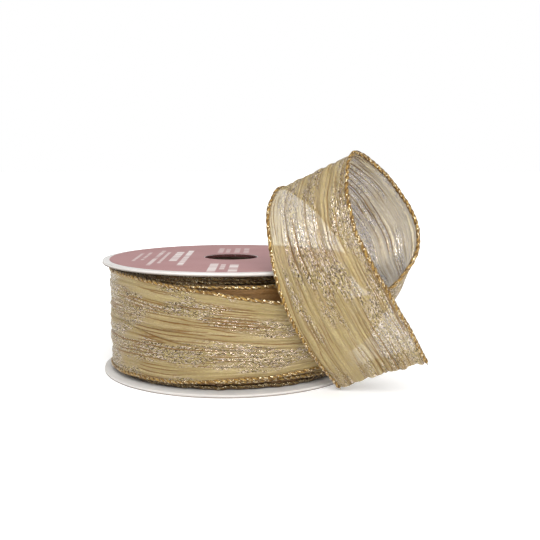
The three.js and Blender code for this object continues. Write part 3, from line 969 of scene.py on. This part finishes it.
def core(material):
    """The core tube, with the spiral seam of its paper."""
    profile = rounded(CORE_RADIUS - CORE_WALL, CORE_RADIUS, CORE_LOW.z, CORE_HIGH.z, 0.2, rings=4)

    def wobble(a, r, z):
        seam = np.exp(-((((a * 3 + z * 0.22) % TAU) - np.pi) ** 2) / 0.004)
        outside, inside = r > CORE_RADIUS - 0.5, r < CORE_RADIUS - CORE_WALL + 0.5
        return r - SEAM_DEPTH * seam * outside + SEAM_DEPTH * seam * inside, z

    tall = np.linspace(CORE_LOW.z + 0.6, CORE_HIGH.z - 0.6, 48)
    outer = [(CORE_RADIUS, z) for z in tall]
    inner = [(CORE_RADIUS - CORE_WALL, z) for z in tall[::-1]]
    top = [p for p in profile if p[1] > CORE_HIGH.z - 0.5]
    bottom = [p for p in profile if p[1] < CORE_LOW.z + 0.5]
    bottom_outer = [p for p in bottom if p[0] > CORE_RADIUS - CORE_WALL / 2]
    bottom_inner = [p for p in bottom if p[0] <= CORE_RADIUS - CORE_WALL / 2]
    ordered = bottom_outer + outer + top + inner + sorted(bottom_inner, key=lambda p: (-p[1], p[0]))
    return lathe("wound_board_core", ordered, material, steps=256, wobble=wobble)


# --- Studio ---

CAMERA_LENS = 56.14
CAMERA_PLACE = (0.0153, -0.3305, 0.08045)  # from the spool's axis, in metres
CAMERA_TILT = 0.1278  # radians below level
DARK_WAY = (0.35, -0.93, 0.1)  # the side of the studio without light
WORLD_SPAN = (-0.1, 0.6, 0.64, 0.06)  # from the lit side to the dark one: cosines, then strengths
FLOOR_LEVEL = -0.02
FLOOR_SIDES = 96
LIGHT_TARGET = (0, 0, 0.035)
# Lights: name, azimuth, elevation, distance, size and power
LIGHTS = [
    ("key", 8, 34, 1.1, (0.9, 0.42), 12.0),
    ("top", 10, 80, 1.2, (1.2, 1.2), 3.6),
    ("left", -80, 20, 1.4, (0.9, 0.9), 0.8),
]


def build_camera():
    """A camera at the photograph's viewing angle."""
    data = bpy.data.cameras.new("camera")
    data.lens = CAMERA_LENS
    data.sensor_width = 36.0
    camera = bpy.data.objects.new("camera", data)
    camera.location = Vector(CAMERA_PLACE) + Vector(AXIS)
    camera.rotation_euler = (math.pi / 2 - CAMERA_TILT, 0, 0)
    SCENE.collection.objects.link(camera)
    SCENE.camera = camera


def area_light(name, azimuth, elevation, distance, size, energy):
    """A soft rectangular light aimed at the object. Azimuth 0 is the front, 90 the right."""
    data = bpy.data.lights.new(name, "AREA")
    data.shape = "RECTANGLE"
    data.size, data.size_y = size
    data.energy = energy
    light = bpy.data.objects.new(name, data)
    a, e = math.radians(azimuth), math.radians(elevation)
    back = Vector((math.sin(a) * math.cos(e), -math.cos(a) * math.cos(e), math.sin(e)))
    light.location = Vector(LIGHT_TARGET) + back * distance
    light.rotation_mode = "QUATERNION"
    light.rotation_quaternion = (-back).to_track_quat("-Z", "Y")
    SCENE.collection.objects.link(light)


def build_world():
    """Pale light from behind and from the left, dark in front, and white where it is seen."""
    world = bpy.data.worlds.new("studio")
    SCENE.world = world
    world.use_nodes = True
    tree = world.node_tree
    background = tree.nodes["Background"]
    path = tree.nodes.new("ShaderNodeLightPath")
    direction = tree.nodes.new("ShaderNodeTexCoord")
    toward = tree.nodes.new("ShaderNodeVectorMath")
    toward.operation = "DOT_PRODUCT"
    toward.inputs[1].default_value = DARK_WAY
    front = tree.nodes.new("ShaderNodeMapRange")
    mix = tree.nodes.new("ShaderNodeMix")
    mix.data_type = "FLOAT"
    tree.links.new(direction.outputs["Generated"], toward.inputs[0])
    tree.links.new(toward.outputs["Value"], front.inputs[0])
    for socket, value in zip(front.inputs[1:5], WORLD_SPAN):
        socket.default_value = value
    tree.links.new(path.outputs["Is Camera Ray"], mix.inputs[0])
    tree.links.new(front.outputs[0], mix.inputs[2])
    mix.inputs[3].default_value = 1.0
    tree.links.new(mix.outputs[0], background.inputs["Strength"])
    background.inputs["Color"].default_value = rgb(1.0, 1.0, 1.0)


def build_floor():
    """A large flat pale floor just below the part."""
    radius = np.array([60, 120, 200, 400, 800, 1600, 3000, 6000])
    angle = around(FLOOR_SIDES)
    points = [(0, 0, FLOOR_LEVEL)]
    for r in radius:
        points += [(r * math.cos(a), r * math.sin(a), FLOOR_LEVEL) for a in angle]
    faces = [(0, 1 + k, 1 + (k + 1) % FLOOR_SIDES) for k in range(FLOOR_SIDES)]
    for ring in range(len(radius) - 1):
        here, there = 1 + ring * FLOOR_SIDES, 1 + (ring + 1) * FLOOR_SIDES
        for k in range(FLOOR_SIDES):
            n = (k + 1) % FLOOR_SIDES
            faces.append((here + k, there + k, there + n, here + n))
    floor = make_piece("floor", points, faces, floor_material())


# --- Assembly ---

SHEER_OPACITY = 0.56
STACK_OPACITY = 0.9
STACK_DEPTH = 1.1  # how dark the wound cloth's creases are, against 1 for the last turn
# Painted shade mixed over most of the wound turns' cloth colour
STACK_PAINTED_SHADE = rgb(0.165, 0.068, 0.016)
STACK_LIGHT = 0.5  # how bright the wound turns' thread is, against 1 for the last turn, as painted shade

build_camera()
build_world()
build_floor()
for light_settings in LIGHTS:
    area_light(*light_settings)
SCENE.view_settings.view_transform = "Standard"
SCENE.cycles.transparent_max_bounces = 32

cloth = cloth_material("sheer_cloth", SHEER_OPACITY)
wound_cloth = cloth_material("wound_cloth_painted_shade", STACK_OPACITY, STACK_DEPTH, STACK_PAINTED_SHADE)
thread = thread_material()
shaded_thread = thread_material("gold_thread_painted_shade", STACK_LIGHT)
wire = wire_material()
board = board_material()

pieces = {}
for number, (name, _, _) in enumerate(SEGMENTS):
    pieces[name] = ribbon_segment(number, cloth, thread, wire)

for piece in pieces["turn"]:
    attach(piece, "outer_turn")
for piece in pieces["exit"]:
    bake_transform(piece)
for piece in pieces["fold"]:
    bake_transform(piece)
for piece in pieces["loop"]:
    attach(piece, "loop")
hem = hem_piece(cloth)
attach(hem, "loop")

KINDS = ("cloth", "upper_edge", "upper_wire", "lower_edge", "lower_wire")
SLOTS = ("ribbon_cloth", "edge_thread", "edge_wire", "edge_thread", "edge_wire")
STOOD_FOR = {
    "turn": [f"outer_turn_{kind}" for kind in KINDS],
    "exit": [f"exit_{kind}" for kind in KINDS],
    "fold": ["fold_cloth", None, None, None, None],
    "loop": [None] + [f"loop_{kind}" for kind in KINDS[1:]],
}
for name, members in pieces.items():
    for piece, slot, node in zip(members, SLOTS, STOOD_FOR[name]):
        if node:
            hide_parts(node)
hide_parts("back_cloth", "rise_cloth", "crest_cloth", "front_cloth", "end_cloth")

for number, (radius, _, _, _) in enumerate(UNDER_TURNS):
    members = under_turn(number, wound_cloth, shaded_thread)
    for piece, slot in zip(members, ("ribbon_cloth", "edge_thread", "edge_thread")):
        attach(piece, "spool")
inner_turns = wound_body(wound_cloth)
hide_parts("wound_cloth")
upper_coil = coil_binding("wound_upper_bindings", PACK_HIGH + 0.9, shaded_thread)
lower_coil = coil_binding("wound_lower_bindings", PACK_LOW - 0.1, shaded_thread)
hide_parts("wound_upper_edge")
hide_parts("wound_lower_edge")

lower_flange = flange("lower_board", FLANGE_LOW.z, board, 3)
upper_flange = flange("upper_board", TOP_LOW.z, board, 5)
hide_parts("bottom_flange")
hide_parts("top_flange")
rose_label = label(label_material())
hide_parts("top_label")
board_core = core(core_material())
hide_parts("core_tube")
for piece in (inner_turns, upper_coil, lower_coil, lower_flange, upper_flange, rose_label, board_core):
    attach(piece, "spool")

glue = glue_material()
for node in ("lower_glue_ring", "upper_glue_ring"):
    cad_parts[node].data.materials.clear()
    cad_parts[node].data.materials.append(glue)
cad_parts["start_tape"].data.materials.clear()
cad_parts["start_tape"].data.materials.append(tape_material())
